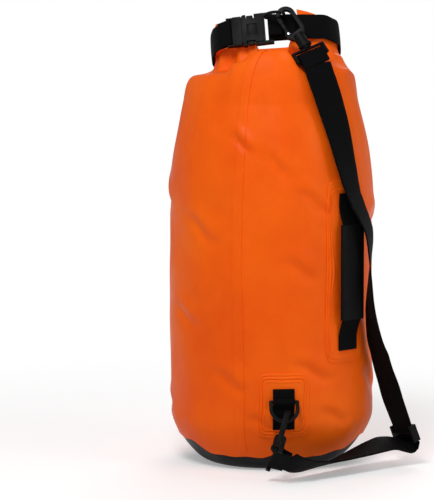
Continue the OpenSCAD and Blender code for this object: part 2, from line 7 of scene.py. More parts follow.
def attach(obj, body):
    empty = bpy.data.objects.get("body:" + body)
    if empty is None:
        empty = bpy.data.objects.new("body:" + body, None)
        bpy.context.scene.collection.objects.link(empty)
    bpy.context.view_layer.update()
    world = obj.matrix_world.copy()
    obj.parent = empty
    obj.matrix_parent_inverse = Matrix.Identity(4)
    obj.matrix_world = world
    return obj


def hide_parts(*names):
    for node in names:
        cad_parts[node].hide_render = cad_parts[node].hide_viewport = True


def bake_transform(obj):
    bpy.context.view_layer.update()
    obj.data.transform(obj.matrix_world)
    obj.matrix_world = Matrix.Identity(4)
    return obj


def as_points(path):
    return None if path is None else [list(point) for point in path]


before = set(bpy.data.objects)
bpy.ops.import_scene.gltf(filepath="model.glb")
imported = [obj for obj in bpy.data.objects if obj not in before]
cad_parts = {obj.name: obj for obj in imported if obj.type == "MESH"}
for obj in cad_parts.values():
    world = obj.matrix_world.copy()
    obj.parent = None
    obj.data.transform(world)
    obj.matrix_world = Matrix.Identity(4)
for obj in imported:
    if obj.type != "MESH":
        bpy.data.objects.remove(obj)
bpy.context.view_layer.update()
MM = 0.001
rad = math.radians


# ---- Camera ----
def add_camera():
    # a long lens, 6 degrees above level; the bag stands right of the middle
    target, distance, rise = Vector((-0.0637, 0, 0.248)), 3.5, rad(6)
    back = Vector((0, -math.cos(rise), math.sin(rise)))
    lens = bpy.data.cameras.new("camera")
    lens.lens = 18 * distance / 0.295
    camera = bpy.data.objects.new("camera", lens)
    camera.location = target + back * distance
    camera.rotation_mode = "QUATERNION"
    camera.rotation_quaternion = (-back).to_track_quat("-Z", "Y")
    bpy.context.scene.collection.objects.link(camera)
    bpy.context.scene.camera = camera


add_camera()


# ---- Materials ----
def lin(text):
    """An sRGB hex colour as linear RGBA."""
    parts = [int(text[i : i + 2], 16) / 255 for i in (1, 3, 5)]
    return (*[c / 12.92 if c <= 0.04045 else ((c + 0.055) / 1.055) ** 2.4 for c in parts], 1)


def add(tree, kind, links=None, **settings):
    """Adds a node with its settings, its sockets' values and its links."""
    made = tree.nodes.new(kind)
    for name, value in settings.items():
        setattr(made, name, value)
    for socket, value in (links or {}).items():
        if isinstance(value, bpy.types.NodeSocket):
            tree.links.new(value, made.inputs[socket])
        else:
            made.inputs[socket].default_value = value
    return made


def surface(name, **values):
    """A new material with its shader, and the shader's plain values."""
    made = bpy.data.materials.new(name)
    made.use_nodes = True
    shader = made.node_tree.nodes["Principled BSDF"]
    for socket, value in values.items():
        shader.inputs[socket.replace("_", " ")].default_value = value
    return made, made.node_tree, shader


def wave_scale(period):
    """A Wave texture's scale for stripes that far apart, in metres."""
    return math.pi / 10 / period


def tarpaulin(name, deep, mid, bright):
    # PVC-coated polyester: a smooth, slightly waxy coat over a woven scrim that just shows
    made, tree, shader = surface(name, Specular_IOR_Level=0.09)
    place = add(tree, "ShaderNodeTexCoord")
    clouds = add(
        tree, "ShaderNodeTexNoise", {"Vector": place.outputs["Object"], "Scale": 7, "Detail": 4, "Roughness": 0.6},
    )
    tone = add(tree, "ShaderNodeValToRGB", {"Fac": clouds.outputs["Fac"]})
    tone.color_ramp.elements[0].position, tone.color_ramp.elements[0].color = 0.3, lin(deep)
    tone.color_ramp.elements[1].position, tone.color_ramp.elements[1].color = 0.72, lin(bright)
    middle = tone.color_ramp.elements.new(0.5)
    middle.color = lin(mid)
    # hairline marks where the coat was once folded sharply: a little paler than the rest
    marks = add(
        tree, "ShaderNodeTexVoronoi", {"Vector": place.outputs["Object"], "Scale": 17, "Randomness": 1},
        feature="DISTANCE_TO_EDGE",
    )
    bend = add(
        tree, "ShaderNodeMapRange",
        {"Value": marks.outputs["Distance"], "From Min": 0.0, "From Max": 0.03, "To Min": 0.12, "To Max": 0},
    )
    patchy = add(tree, "ShaderNodeTexNoise", {"Vector": place.outputs["Object"], "Scale": 11, "Detail": 2})
    some = add(
        tree, "ShaderNodeMapRange",
        {"Value": patchy.outputs["Fac"], "From Min": 0.52, "From Max": 0.68, "To Min": 0, "To Max": 1},
    )
    worn = add(tree, "ShaderNodeMath", {0: bend.outputs["Result"], 1: some.outputs["Result"]}, operation="MULTIPLY")
    colour = add(
        tree, "ShaderNodeMix", {"Factor": worn.outputs[0], 6: tone.outputs["Color"], 7: lin(bright)},
        data_type="RGBA",
    )
    tree.links.new(colour.outputs[2], shader.inputs["Base Color"])
    # scrim threads, drawn 2.2 mm apart instead of 0.9 so that they show
    threads = [
        add(
            tree, "ShaderNodeTexWave",
            {"Vector": place.outputs["UV"], "Scale": wave_scale(0.0022), "Distortion": 0.25}, bands_direction=way,
        )
        for way in "XY"
    ]
    scrim = add(tree, "ShaderNodeMath", {0: threads[0].outputs["Fac"], 1: threads[1].outputs["Fac"]}, operation="ADD")
    soft = add(
        tree, "ShaderNodeTexNoise", {"Vector": place.outputs["Object"], "Scale": 26, "Detail": 5, "Roughness": 0.55},
    )
    weave = add(tree, "ShaderNodeBump", {"Height": scrim.outputs[0], "Strength": 0.1, "Distance": 0.00025})
    dents = add(
        tree, "ShaderNodeBump",
        {"Height": soft.outputs["Fac"], "Strength": 0.35, "Distance": 0.004, "Normal": weave.outputs["Normal"]},
    )
    folds = add(
        tree, "ShaderNodeBump",
        {"Height": worn.outputs[0], "Strength": 0.15, "Distance": 0.001, "Normal": dents.outputs["Normal"]},
    )
    tree.links.new(folds.outputs["Normal"], shader.inputs["Normal"])
    gloss = add(
        tree, "ShaderNodeMapRange",
        {"Value": soft.outputs["Fac"], "From Min": 0.3, "From Max": 0.75, "To Min": 0.36, "To Max": 0.56},
    )
    tree.links.new(gloss.outputs["Result"], shader.inputs["Roughness"])
    return made


def webbing_cloth(name, dark, light, pitch):
    # woven polypropylene: a twill of crossed ribs with a dull sheen from the yarn
    made, tree, shader = surface(
        name, Roughness=0.75, Specular_IOR_Level=0.06, Sheen_Weight=0.01, Sheen_Roughness=0.5,
    )
    place = add(tree, "ShaderNodeTexCoord")
    slant = add(tree, "ShaderNodeMapping", {"Vector": place.outputs["UV"], "Rotation": (0, 0, rad(38))})
    back = add(tree, "ShaderNodeMapping", {"Vector": place.outputs["UV"], "Rotation": (0, 0, rad(-38))})
    twill = [
        add(
            tree, "ShaderNodeTexWave",
            {"Vector": way.outputs["Vector"], "Scale": wave_scale(pitch), "Distortion": 0.4, "Detail": 1},
            bands_direction="X",
        )
        for way in (slant, back)
    ]
    yarn = add(tree, "ShaderNodeMath", {0: twill[0].outputs["Fac"], 1: twill[1].outputs["Fac"]}, operation="MAXIMUM")
    fuzz = add(tree, "ShaderNodeTexNoise", {"Vector": place.outputs["Object"], "Scale": 900, "Detail": 3})
    lint = add(tree, "ShaderNodeMath", {0: yarn.outputs[0], 1: fuzz.outputs["Fac"]}, operation="MULTIPLY")
    colour = add(tree, "ShaderNodeMix", {"Factor": lint.outputs[0], 6: lin(dark), 7: lin(light)}, data_type="RGBA")
    tree.links.new(colour.outputs[2], shader.inputs["Base Color"])
    relief = add(tree, "ShaderNodeBump", {"Height": yarn.outputs[0], "Strength": 0.7, "Distance": 0.0005})
    hairs = add(
        tree, "ShaderNodeBump",
        {"Height": fuzz.outputs["Fac"], "Strength": 0.25, "Distance": 0.0003, "Normal": relief.outputs["Normal"]},
    )
    tree.links.new(hairs.outputs["Normal"], shader.inputs["Normal"])
    return made


def moulded(name, dark, light, rough, grain):
    # injection-moulded plastic with a fine spark-eroded texture, polished a little by handling
    made, tree, shader = surface(name, IOR=1.48, Specular_IOR_Level=0.15)
    place = add(tree, "ShaderNodeTexCoord")
    speck = add(tree, "ShaderNodeTexNoise", {"Vector": place.outputs["Object"], "Scale": 1 / grain, "Detail": 2})
    handled = add(tree, "ShaderNodeTexNoise", {"Vector": place.outputs["Object"], "Scale": 60, "Detail": 3})
    colour = add(
        tree, "ShaderNodeMix", {"Factor": handled.outputs["Fac"], 6: lin(dark), 7: lin(light)}, data_type="RGBA",
    )
    tree.links.new(colour.outputs[2], shader.inputs["Base Color"])
    gloss = add(
        tree, "ShaderNodeMapRange",
        {
            "Value": handled.outputs["Fac"], "From Min": 0.3, "From Max": 0.7, "To Min": rough - 0.07,
            "To Max": rough + 0.08,
        },
    )
    tree.links.new(gloss.outputs["Result"], shader.inputs["Roughness"])
    relief = add(tree, "ShaderNodeBump", {"Height": speck.outputs["Fac"], "Strength": 0.18, "Distance": 0.0002})
    tree.links.new(relief.outputs["Normal"], shader.inputs["Normal"])
    return made


orange_cloth = tarpaulin("orange_coated_polyester", "#EE5508", "#F7610B", "#FD6D11")
black_cloth = tarpaulin("black_coated_polyester", "#030304", "#060607", "#0B0B0C")
band_cloth = webbing_cloth("black_polypropylene_webbing", "#020203", "#0C0D0F", 0.0028)
strap_cloth = webbing_cloth("black_strap_webbing", "#020203", "#0B0C0E", 0.0032)
acetal = moulded("black_moulded_acetal", "#020304", "#050607", 0.55, 0.0006)
grip_rubber = moulded("black_rubberised_sleeve", "#020203", "#060607", 0.66, 0.0012)


def drawn_wire():
    made, tree, shader = surface("bright_drawn_wire", Metallic=1)
    place = add(tree, "ShaderNodeTexCoord")
    long_marks = add(tree, "ShaderNodeTexNoise", {"Vector": place.outputs["Object"], "Scale": 500})
    colour = add(
        tree, "ShaderNodeMix", {"Factor": long_marks.outputs["Fac"], 6: lin("#8E9092"), 7: lin("#B9BBBD")},
        data_type="RGBA",
    )
    tree.links.new(colour.outputs[2], shader.inputs["Base Color"])
    gloss = add(tree, "ShaderNodeMapRange", {"Value": long_marks.outputs["Fac"], "To Min": 0.25, "To Max": 0.4})
    tree.links.new(gloss.outputs["Result"], shader.inputs["Roughness"])
    return made


steel = drawn_wire()


# ---- Making pieces ----
def only(piece):
    bpy.ops.object.select_all(action="DESELECT")
    piece.select_set(True)
    bpy.context.view_layer.objects.active = piece


def finish_modifiers(piece):
    only(piece)
    for modifier in list(piece.modifiers):
        bpy.ops.object.modifier_apply(modifier=modifier.name)


def put_on(piece, material, body="root", stands_for=()):
    piece.data.materials.clear()
    piece.data.materials.append(material)
    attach(piece, body)
    if stands_for:
        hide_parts(*stands_for)
    return piece


def smooth(piece, angle=40):
    only(piece)
    bpy.ops.object.shade_smooth_by_angle(angle=rad(angle))


def laid_grid(name, along, across, place, size, closed=(False, False)):
    """A grid whose points are put where place(u, v) says, for u and v from 0 to 1; size is its cloth's, in metres."""
    bpy.ops.object.select_all(action="DESELECT")
    bpy.ops.mesh.primitive_grid_add(x_subdivisions=along, y_subdivisions=across, size=1)
    piece = bpy.context.object
    piece.name = piece.data.name = name
    mesh = piece.data
    layer = mesh.uv_layers.active
    for corner in layer.data:
        corner.uv = (corner.uv[0] * size[0], corner.uv[1] * size[1])
    for point in mesh.vertices:
        point.co = place(point.co.x + 0.5, point.co.y + 0.5)
    if any(closed):
        bpy.ops.object.mode_set(mode="EDIT")
        bpy.ops.mesh.select_all(action="SELECT")
        bpy.ops.mesh.remove_doubles(threshold=0.00002)
        bpy.ops.object.mode_set(mode="OBJECT")
    return piece


def thicken(piece, thickness, offset=0.0, rim=0.0):
    wall = piece.modifiers.new("wall", "SOLIDIFY")
    wall.thickness, wall.offset = thickness, offset
    if rim:
        edge = piece.modifiers.new("edge", "BEVEL")
        edge.width, edge.segments, edge.limit_method, edge.angle_limit = rim, 2, "ANGLE", rad(50)
    finish_modifiers(piece)


def along(points, u):
    """The point at share u of a line's length, on a smooth curve through its points."""
    lengths = [0]
    for a, b in zip(points, points[1:]):
        lengths.append(lengths[-1] + (b - a).length)
    at = u * lengths[-1]
    i = max(0, min(len(points) - 2, next((k for k, reach in enumerate(lengths[1:]) if reach >= at), len(points) - 2)))
    t = (at - lengths[i]) / max(1e-9, lengths[i + 1] - lengths[i])
    a, b = points[i], points[i + 1]
    before = points[i - 1] if i else a * 2 - b
    after = points[i + 2] if i + 2 < len(points) else b * 2 - a
    square, cube = 2 * before - 5 * a + 4 * b - after, 3 * a - before - 3 * b + after
    return 0.5 * (2 * a + (b - before) * t + square * t * t + cube * t * t * t)


def length_of(points):
    return sum((b - a).length for a, b in zip(points, points[1:]))


def ribbon(name, points, acrosses, width, thickness, steps, ribs=6, fold=0.0, rim=0.0004):
    """A band of webbing along a line. acrosses is one direction, or one for each point; fold creases its middle."""
    points = [Vector(p) for p in points]
    if isinstance(acrosses, Vector):
        acrosses = [acrosses] * len(points)

    def place(u, v):
        middle = along(points, u)
        heading = (along(points, min(1, u + 0.002)) - along(points, max(0, u - 0.002))).normalized()
        side = along(acrosses, u) if len({tuple(a) for a in acrosses}) > 1 else acrosses[0]
        side = (side - side.dot(heading) * heading).normalized()
        out = heading.cross(side)
        bend = fold(u) if callable(fold) else fold
        across = side * (v - 0.5) * width * math.cos(bend)
        return middle + across + out * (0.25 - abs(v - 0.5)) * width * math.sin(bend)

    piece = laid_grid(name, steps, ribs, place, (length_of(points), width))
    thicken(piece, thickness, rim=rim)
    smooth(piece, 50)
    return piece


def loop_line(bar, toward, across, radius, length, spread=None):
    """The line of webbing that goes round a bar and comes back beside itself."""
    toward, across = toward.normalized(), across.normalized()
    out = across.cross(toward)
    spread = radius if spread is None else spread
    tips = [bar + toward * length + out * spread, bar + toward * length - out * spread]
    half = [
        bar + toward * length * 0.45 + out * (radius * 0.6 + spread * 0.4),
        bar + toward * length * 0.45 - out * (radius * 0.6 + spread * 0.4),
    ]
    turn = [bar + radius * (out * math.cos(rad(a)) - toward * math.sin(rad(a))) for a in range(-10, 191, 20)]
    return [tips[0], half[0], *turn, half[1], tips[1]]


def from_cad(node, name, material, round_edge, body="root", angle=32):
    """A merged copy of a CAD solid with its moulded edges rounded."""
    only(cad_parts[node])
    bpy.ops.object.duplicate()
    piece = bpy.context.object
    for key in list(piece.keys()):
        del piece[key]
    piece.parent = None
    piece.name = name
    bpy.ops.object.mode_set(mode="EDIT")
    bpy.ops.mesh.select_all(action="SELECT")
    bpy.ops.mesh.remove_doubles(threshold=0.00001)
    bpy.ops.mesh.dissolve_limited(angle_limit=rad(1.5))
    bpy.ops.object.mode_set(mode="OBJECT")
    if round_edge:
        edge = piece.modifiers.new("edge", "BEVEL")
        edge.width, edge.segments, edge.limit_method, edge.angle_limit = round_edge, 3, "ANGLE", rad(angle)
        edge.use_clamp_overlap = True
        finish_modifiers(piece)
    smooth(piece, angle)
    return put_on(piece, material, body, [node])


# ---- The bag's sizes, as in the CAD model, in millimetres ----
BAG_R, WALL_H, JOINT_Z, JOINT_R, FOOT_R, FOOT_ROUND = 119, 318, 425, 102, 75, 58
RING_A, RING_B, RING_Z, RING_SHIFT, RING_TILT, RING_ROLL = 76, 52.5, 490, 5, 24, 4
BAND_W, WEB_T = 30, 2


def skin_radius(z):
    if z < FOOT_ROUND:
        c = (1 - z / FOOT_ROUND) ** (1 / 1.4)
        return FOOT_R + (BAG_R - FOOT_R) * math.sqrt(max(0, 1 - c * c)) ** 1.4
    if z < WALL_H:
        return BAG_R
    return BAG_R - 17 * min(1, (z - WALL_H) / 107) ** 1.6


def at_ring(u, v, w):
    """A point of the closure ring's own frame, in metres."""
    turn = Matrix.Rotation(rad(-RING_TILT), 3, "X") @ Matrix.Rotation(rad(-RING_ROLL), 3, "Y")
    return (turn @ Vector((u, v, w)) + Vector((RING_SHIFT, 0, RING_Z))) * MM


def ring_line(angle, off):
    """The closure ring's outline, moved outwards, in its own frame."""
    c, s = math.cos(rad(angle)), math.sin(rad(angle))
    return (
        (RING_A + off) * math.copysign(abs(c) ** (2 / 3), c),
        (RING_B + off) * math.copysign(abs(s) ** (2 / 3), s),
    )


# ---- Shoulder strap ----
STRAP_ROUTE = [
    ((50.5, -86.4, 471.4), (0.8, 0.5, 0.3)),
    ((54.3, -90.5, 459.5), (0.86, 0.45, 0.2)),
    ((58.5, -92.5, 447.5), (0.86, 0.48, 0.15)),
    ((62.5, -93, 436), (0.86, 0.5, 0.1)),
    ((67.7, -92, 419), (0.84, 0.53, 0.05)),
    ((73, -91, 402), (0.82, 0.56, 0)),
    ((77.5, -91, 385), (0.8, 0.6, 0)),
    ((81.7, -92, 367), (0.78, 0.62, 0)),
    ((86, -91.5, 350), (0.74, 0.66, 0)),
    ((90, -89.5, 334), (0.7, 0.71, 0)),
    ((94.5, -88.2, 319), (0.65, 0.76, 0)),
    ((100, -86, 306), (0.6, 0.8, 0)),
    ((106, -85.2, 293), (0.56, 0.83, 0)),
    ((110.9, -84, 280), (0.52, 0.855, 0)),
    ((113, -80.5, 266), (0.46, 0.89, 0)),
    ((113.3, -78.1, 250), (0.44, 0.9, 0)),
    ((113.3, -77.6, 228), (0.44, 0.9, 0)),
    ((113.3, -77.3, 206), (0.46, 0.89, 0)),
    ((114.1, -75, 189), (0.46, 0.89, 0)),
    ((116.2, -69.8, 172), (0.4, 0.92, 0)),
    ((120.5, -61, 149), (0.27, 0.965, 0)),
    ((125.5, -54.6, 133), (0.11, 0.99, 0)),
    ((130.7, -49, 114), (-0.13, 0.99, 0)),
    ((137, -45, 95), (-0.32, 0.95, 0)),
    ((141.95, -42.4, 78), (-0.46, 0.885, -0.08)),
    ((147.65, -41.4, 62), (-0.495, 0.863, -0.1)),
    ((152.9, -40.9, 47.5), (-0.5, 0.86, -0.1)),
    ((157, -40.2, 36), (-0.5, 0.86, -0.1)),
    ((160.3, -40, 27), (-0.52, 0.85, -0.08)),
    ((155.5, -43.5, 22.5), (-0.55, 0.83, -0.05)),
    ((145.5, -51.5, 25), (-0.6, 0.8, -0.02)),
    ((134, -61, 27.3), (-0.64, 0.77, 0.02)),
    ((121, -71.5, 25.3), (-0.66, 0.75, 0.06)),
    ((107, -83.5, 22.2), (-0.67, 0.74, 0.1)),
    ((92.5, -96, 19), (-0.67, 0.73, 0.15)),
    ((78.5, -109.5, 16.2), (-0.65, 0.72, 0.22)),
    ((65, -122, 14.5), (-0.62, 0.7, 0.32)),
    ((51, -135.5, 14.5), (-0.57, 0.7, 0.4)),
    ((38, -148.5, 15.5), (-0.52, 0.74, 0.28)),
    ((27.5, -161, 19.5), (-0.42, 0.78, -0.15)),
    ((14.5, -170.9, 26.6), (-0.33, 0.7, -0.62)),
]


def shoulder_strap():
    line = [Vector(p) * MM for p, _ in STRAP_ROUTE]
    # a little narrower and thinner than its 36 mm solid, so that the slider runs free on it
    strap = ribbon("shoulder_strap_webbing", line, [Vector(a) for _, a in STRAP_ROUTE], 35.2 * MM, 1.9 * MM, 240, 10)
    put_on(strap, strap_cloth, stands_for=["shoulder_strap"])
    return strap, line


strap, strap_line = shoulder_strap()


# ---- Body ----
def bump(x, middle, width):
    return math.exp(-(((x - middle) / width) ** 2))


HANDLE_AZ, HANDLE_OUT, HANDLE_Z = 46, 120.1, (141, 323)

CREASES = [
    # azimuth and height of each end, half-width in mm, depth in mm
    (10, 330, 38, 300, 8.5, 3.51), (2, 250, 30, 225, 10.2, 3.24), (-8, 372, 14, 342, 8.5, 2.7), (
        -60, 300, -28, 262, 10.2, 3.24,
    ),
    (
        -75, 190, -40, 168, 10.2, 2.7,
    ), (8, 130, 40, 108, 8.5, 2.97), (-40, 120, -10, 95, 10.2, 2.97), (-30, 392, -8, 372, 6.8, 2.97),
    (36, 395, 60, 360, 8.5, 3.24), (70, 300, 110, 270, 10.2, 3.51), (
        120, 350, 160, 320, 10.2, 3.51,
    ), (95, 180, 140, 150, 10.2, 3.24),
    (
        170, 260, 215, 235, 10.2, 3.51,
    ), (200, 380, 235, 350, 8.5, 3.24), (180, 130, 225, 105, 10.2, 3.24), (250, 330, 285, 300, 10.2, 3.24),
    (
        -20, 66, 12, 52, 8.5, 2.43,
    ), (25, 72, 52, 60, 8.5, 2.43), (60, 120, 90, 80, 8.5, 2.7), (240, 90, 280, 66, 8.5, 2.7),
]


def wrinkle(az, z):
    """How far the filled cloth stands off its plain outline, in mm."""
    x, y = math.cos(rad(az)), math.sin(rad(az))
    ease = min(1, max(0, (z - 14) / 40))
    out = 2.4 * noise.noise(Vector((x * 1.3, y * 1.3, z / 150))) * ease
    out += 1.3 * noise.noise(Vector((x * 3.1 + 5, y * 3.1, z / 60 + 3))) * ease
    out += 0.9 * noise.noise(Vector((x * 9, y * 9 + 2, z / 34))) * bump(z, 46, 30) * ease
    out += 1.5 * noise.noise(Vector((x * 6, y * 6 + 8, z / 160))) * bump(z, 430, 60)
    for az0, z0, az1, z1, wide, deep in CREASES:
        mid = (az - (az0 + az1) / 2 + 180) % 360 - 180
        px, pz = mid * BAG_R * math.pi / 180, z - (z0 + z1) / 2
        lx, lz = (az1 - az0) / 2 * BAG_R * math.pi / 180, (z1 - z0) / 2
        size = math.hypot(lx, lz)
        run, off = (px * lx + pz * lz) / size, (px * -lz + pz * lx) / size
        off += 3 * math.sin(run / 9)
        fade = max(0, 1 - (run / size) ** 2) ** 1.5
        if fade:
            out += fade * deep * (0.75 * bump(off, wide * 1.1, wide) - bump(off, -wide * 0.2, wide * 0.7))
    # behind the handle the cloth is pressed in, so that a turning grip clears it
    behind = bump((az - HANDLE_AZ + 180) % 360 - 180, 0, 14) * bump(z, 232, 75)
    return out + (-1.9 - max(0, out)) * behind


def hem_height(az):
    """The welded hem of the orange tube: low at the front and the back, higher at the sides, and a little wavy."""
    side = 1 - math.cos(rad(az)) ** 2
    waves = 2.8 * math.sin(rad(az) * 5 + 1.3) + 1.9 * math.sin(rad(az) * 11 + 0.4) + 1.3 * math.sin(rad(az) * 17)
    return 16.5 + 15 * side**2 + waves


def between(x, low, high):
    """0 below low, 1 above high, and smooth in the middle."""
    t = min(1, max(0, (x - low) / (high - low)))
    return t * t * (3 - 2 * t)


def neck_point(az):
    """Where the cloth goes up into the rolled mouth; under the buckle it falls back instead."""
    gap = between(az, -13, -8.5) * (1 - between(az, 2.5, 6))
    left = between(az, -110, -75) * (1 - between(az, -24, -15))
    x, y = ring_line(az - 90, -4.5 - 9 * gap - 5 * left)
    return at_ring(x, y, -10 - 24 * gap), gap


# the shoulder's brow and the hollow behind it: azimuth, brow's radius and height, hollow's distance
# out from the neck and height
SHOULDER = [
    (
        -180, 74, 454, 9, 455,
    ), (-135, 78, 454, 9, 456), (-90, 90, 454, 6, 459), (-62, 87, 457, 5, 461), (-45, 83, 460, 4, 463),
    (
        -27, 84, 473, 6, 472,
    ), (-12, 84, 484, 8, 476), (0, 83, 487.5, 8, 476), (8, 82, 486, 8, 478), (18, 82, 481, 8, 482),
    (30, 87, 476, 8, 485), (45, 91, 470, 8, 482), (62, 94, 464, 8, 478), (90, 96, 455, 6, 470), (
        135, 86, 454, 8, 460,
    ), (180, 74, 454, 9, 455),
]


def shoulder_row(az):
    """The shoulder table's values at an azimuth, on smooth curves through its rows."""
    k = next(i for i in range(len(SHOULDER) - 1) if az <= SHOULDER[i + 1][0])
    rows = [SHOULDER[max(0, k - 1)], SHOULDER[k], SHOULDER[k + 1], SHOULDER[min(len(SHOULDER) - 1, k + 2)]]
    t = (az - rows[1][0]) / (rows[2][0] - rows[1][0])
    values = []
    for before, a, b, after in list(zip(*rows))[1:]:
        bend = (a - before) * (1 - t) + (after - b) * t
        values.append(a + (b - a) * t * t * (3 - 2 * t) + 0.25 * bend * t * (1 - t) * (1 - 2 * t))
    return values


def bezier(a, b, c, d, t):
    return a * (1 - t) ** 3 + b * 3 * t * (1 - t) ** 2 + c * 3 * t * t * (1 - t) + d * t**3


BROW_AT, HOLLOW_AT = 0.5, 0.72


def shoulder_point(az, s):
    """From the top of the wall (s = 0) over the brow and the hollow behind it to the neck (s = 1)."""
    outward, up = Vector((math.sin(rad(az)), -math.cos(rad(az)), 0)), Vector((0, 0, 1))
    foot = outward * (JOINT_R + wrinkle(az, JOINT_Z)) + up * JOINT_Z
    neck, gap = neck_point(az)
    neck = neck / MM
    brow_r, brow_z, hollow_out, hollow_z = shoulder_row(az)
    brow = outward * brow_r + up * brow_z
    hollow = neck + outward * hollow_out
    hollow.z = hollow_z + (neck.z - hollow_z - 3) * gap
    # on the right the cloth slopes straight over the brow; elsewhere it lies level there
    slant = between(az, 12, 34) * (1 - between(az, 110, 150))
    lie = outward * math.cos(0.75 * slant) - up * math.sin(0.75 * slant)
    if s < BROW_AT:
        t = s / BROW_AT
        point = bezier(
            foot, foot + up * (0.45 * (brow_z - JOINT_Z)) - outward * 2,
            brow + lie * (0.62 * (JOINT_R - brow_r)) - up * (1 - slant), brow, t,
        )
    elif s < HOLLOW_AT:
        t = (s - BROW_AT) / (HOLLOW_AT - BROW_AT)
        run = math.hypot(brow.x - hollow.x, brow.y - hollow.y)
        point = bezier(
            brow, brow - lie * (run * 0.45) + up * (1 - slant),
            hollow + outward * (run * 0.25) - up * (2 + 0.3 * run * slant), hollow, t,
        )
    else:
        t = (s - HOLLOW_AT) / (1 - HOLLOW_AT)
        high = neck.z - hollow.z
        point = bezier(
            hollow, hollow - outward * (0.6 * hollow_out) + up * (0.15 * high), neck - up * (0.5 * high), neck, t,
        )
    uneven = 0.6 + 0.9 * noise.noise(Vector((az / 31, 2.7, s)))
    pleat = math.sin(rad(az) * 7 + 2.6 * math.sin(rad(az) * 2 + 0.5)) + 0.35 * math.sin(rad(az) * 19 + 1 + 4 * s)
    pleat *= uneven * (1.9 - 1.2 * slant)
    gather = between(s, 0.5, 0.85) * (1 - gap) * (1 - 0.5 * between(s, 0.95, 1))
    point += outward * pleat * 1.9 * gather
    # a deep fold runs from the right end of the gap down beside the hook, with a soft ridge on each side
    fold_az = 5 + (0.8 - s) * 38
    deep = between(s, 0.22, 0.4) * (1 - between(s, 0.78, 0.95))
    point -= (outward * 9 + up * 7) * bump(az, fold_az, 3.6) * deep
    point += (outward * 3 + up * 2) * (bump(az, fold_az - 8, 5) + bump(az, fold_az + 9, 6)) * deep
    # and a smaller one on the left
    point -= (outward * 5 + up * 3) * bump(az, -40 + (0.6 - s) * 20, 3.5) * bump(s, 0.5, 0.2)
    soft = noise.noise(Vector((math.sin(rad(az)) * 3, math.cos(rad(az)) * 3, s * 3)))
    return (point + outward * 2.2 * soft * s * (1 - s) * 4) * MM


WALL_SHARE, SHOULDER_SHARE = 0.66, 0.25


def bag_skin():
    def place(u, v):
        az = (u % 1) * 360 - 180
        if v <= WALL_SHARE:
            low = hem_height(az)
            z = low + (JOINT_Z - low) * v / WALL_SHARE
            r = skin_radius(z) + wrinkle(az, z) + 0.5 * bump(z, low, 2)
            return Vector((r * math.sin(rad(az)), -r * math.cos(rad(az)), z)) * MM
        if v <= WALL_SHARE + SHOULDER_SHARE:
            return shoulder_point(az, (v - WALL_SHARE) / SHOULDER_SHARE)
        s = (v - WALL_SHARE - SHOULDER_SHARE) / (1 - WALL_SHARE - SHOULDER_SHARE)
        edge = shoulder_point(az, 1)
        middle = Vector((0.005, 0.004, 0.462))
        share = 1 - s
        x, y = middle.x + (edge.x - middle.x) * share, middle.y + (edge.y - middle.y) * share
        return Vector((x, y, middle.z + (edge.z - middle.z) * share**6 - 0.002 * (1 - share)))

    skin = laid_grid("bag_body_cloth", 288, 240, place, (0.748, 0.63), closed=(True, False))
    round_off = skin.modifiers.new("round_off", "SMOOTH")
    round_off.factor, round_off.iterations = 0.5, 4
    thicken(skin, 1.1 * MM, offset=-1)
    smooth(skin, 60)
    put_on(skin, orange_cloth, stands_for=["body_tube", "shoulder_panel", "neck_folds"])
    return skin


skin = bag_skin()


def base_cloth():
    def place(u, v):
        az = u * 360
        if v < 0.3:
            r, z = 73 * v / 0.3, 0.0
        else:
            z = 44 * ((v - 0.3) / 0.7) ** 1.6
            r = skin_radius(z) - 1.6 - 0.5 * bump(z, 0, 3)
        r += 0.8 * math.sin(rad(az) * 9) * bump(z, 9, 7)
        return Vector((r * math.sin(rad(az)), -r * math.cos(rad(az)), z)) * MM

    base = laid_grid("bag_base_cloth", 180, 60, place, (0.748, 0.16), closed=(True, False))
    thicken(base, 1.4 * MM, offset=-1)
    smooth(base, 50)
    return put_on(base, black_cloth, stands_for=["base_panel"])


base_cloth()


def on_skin(az, z, out):
    r = skin_radius(z) + wrinkle(az, z) + out
    return Vector((r * math.sin(rad(az)), -r * math.cos(rad(az)), z)) * MM


def weld_seam():
    # the side weld: the cloth's overlap, a strip 11 mm wide that runs up the front and over the shoulder
    def place(u, v):
        if u < 0.8:
            z = 22 + (JOINT_Z - 22) * u / 0.8
            return on_skin(-19.5 + 0.8 * math.sin(z / 55) + (v - 0.5) * 5.4, z, 0.55)
        s = (u - 0.8) / 0.2
        az = -19.5 + 0.8 * math.sin(JOINT_Z / 55) + 12.5 * s**1.8 + (v - 0.5) * (5.6 + s)
        point = shoulder_point(az, s * 0.56)
        out = Vector((math.sin(rad(az)), -math.cos(rad(az)), 2.5 * s * s)).normalized()
        return point + out * 0.7 * MM

    seam = laid_grid("side_weld_strip", 220, 8, place, (0.5, 0.011))
    thicken(seam, 0.9 * MM, rim=0.3 * MM)
    smooth(seam, 60)
    return put_on(seam, orange_cloth)


weld_seam()


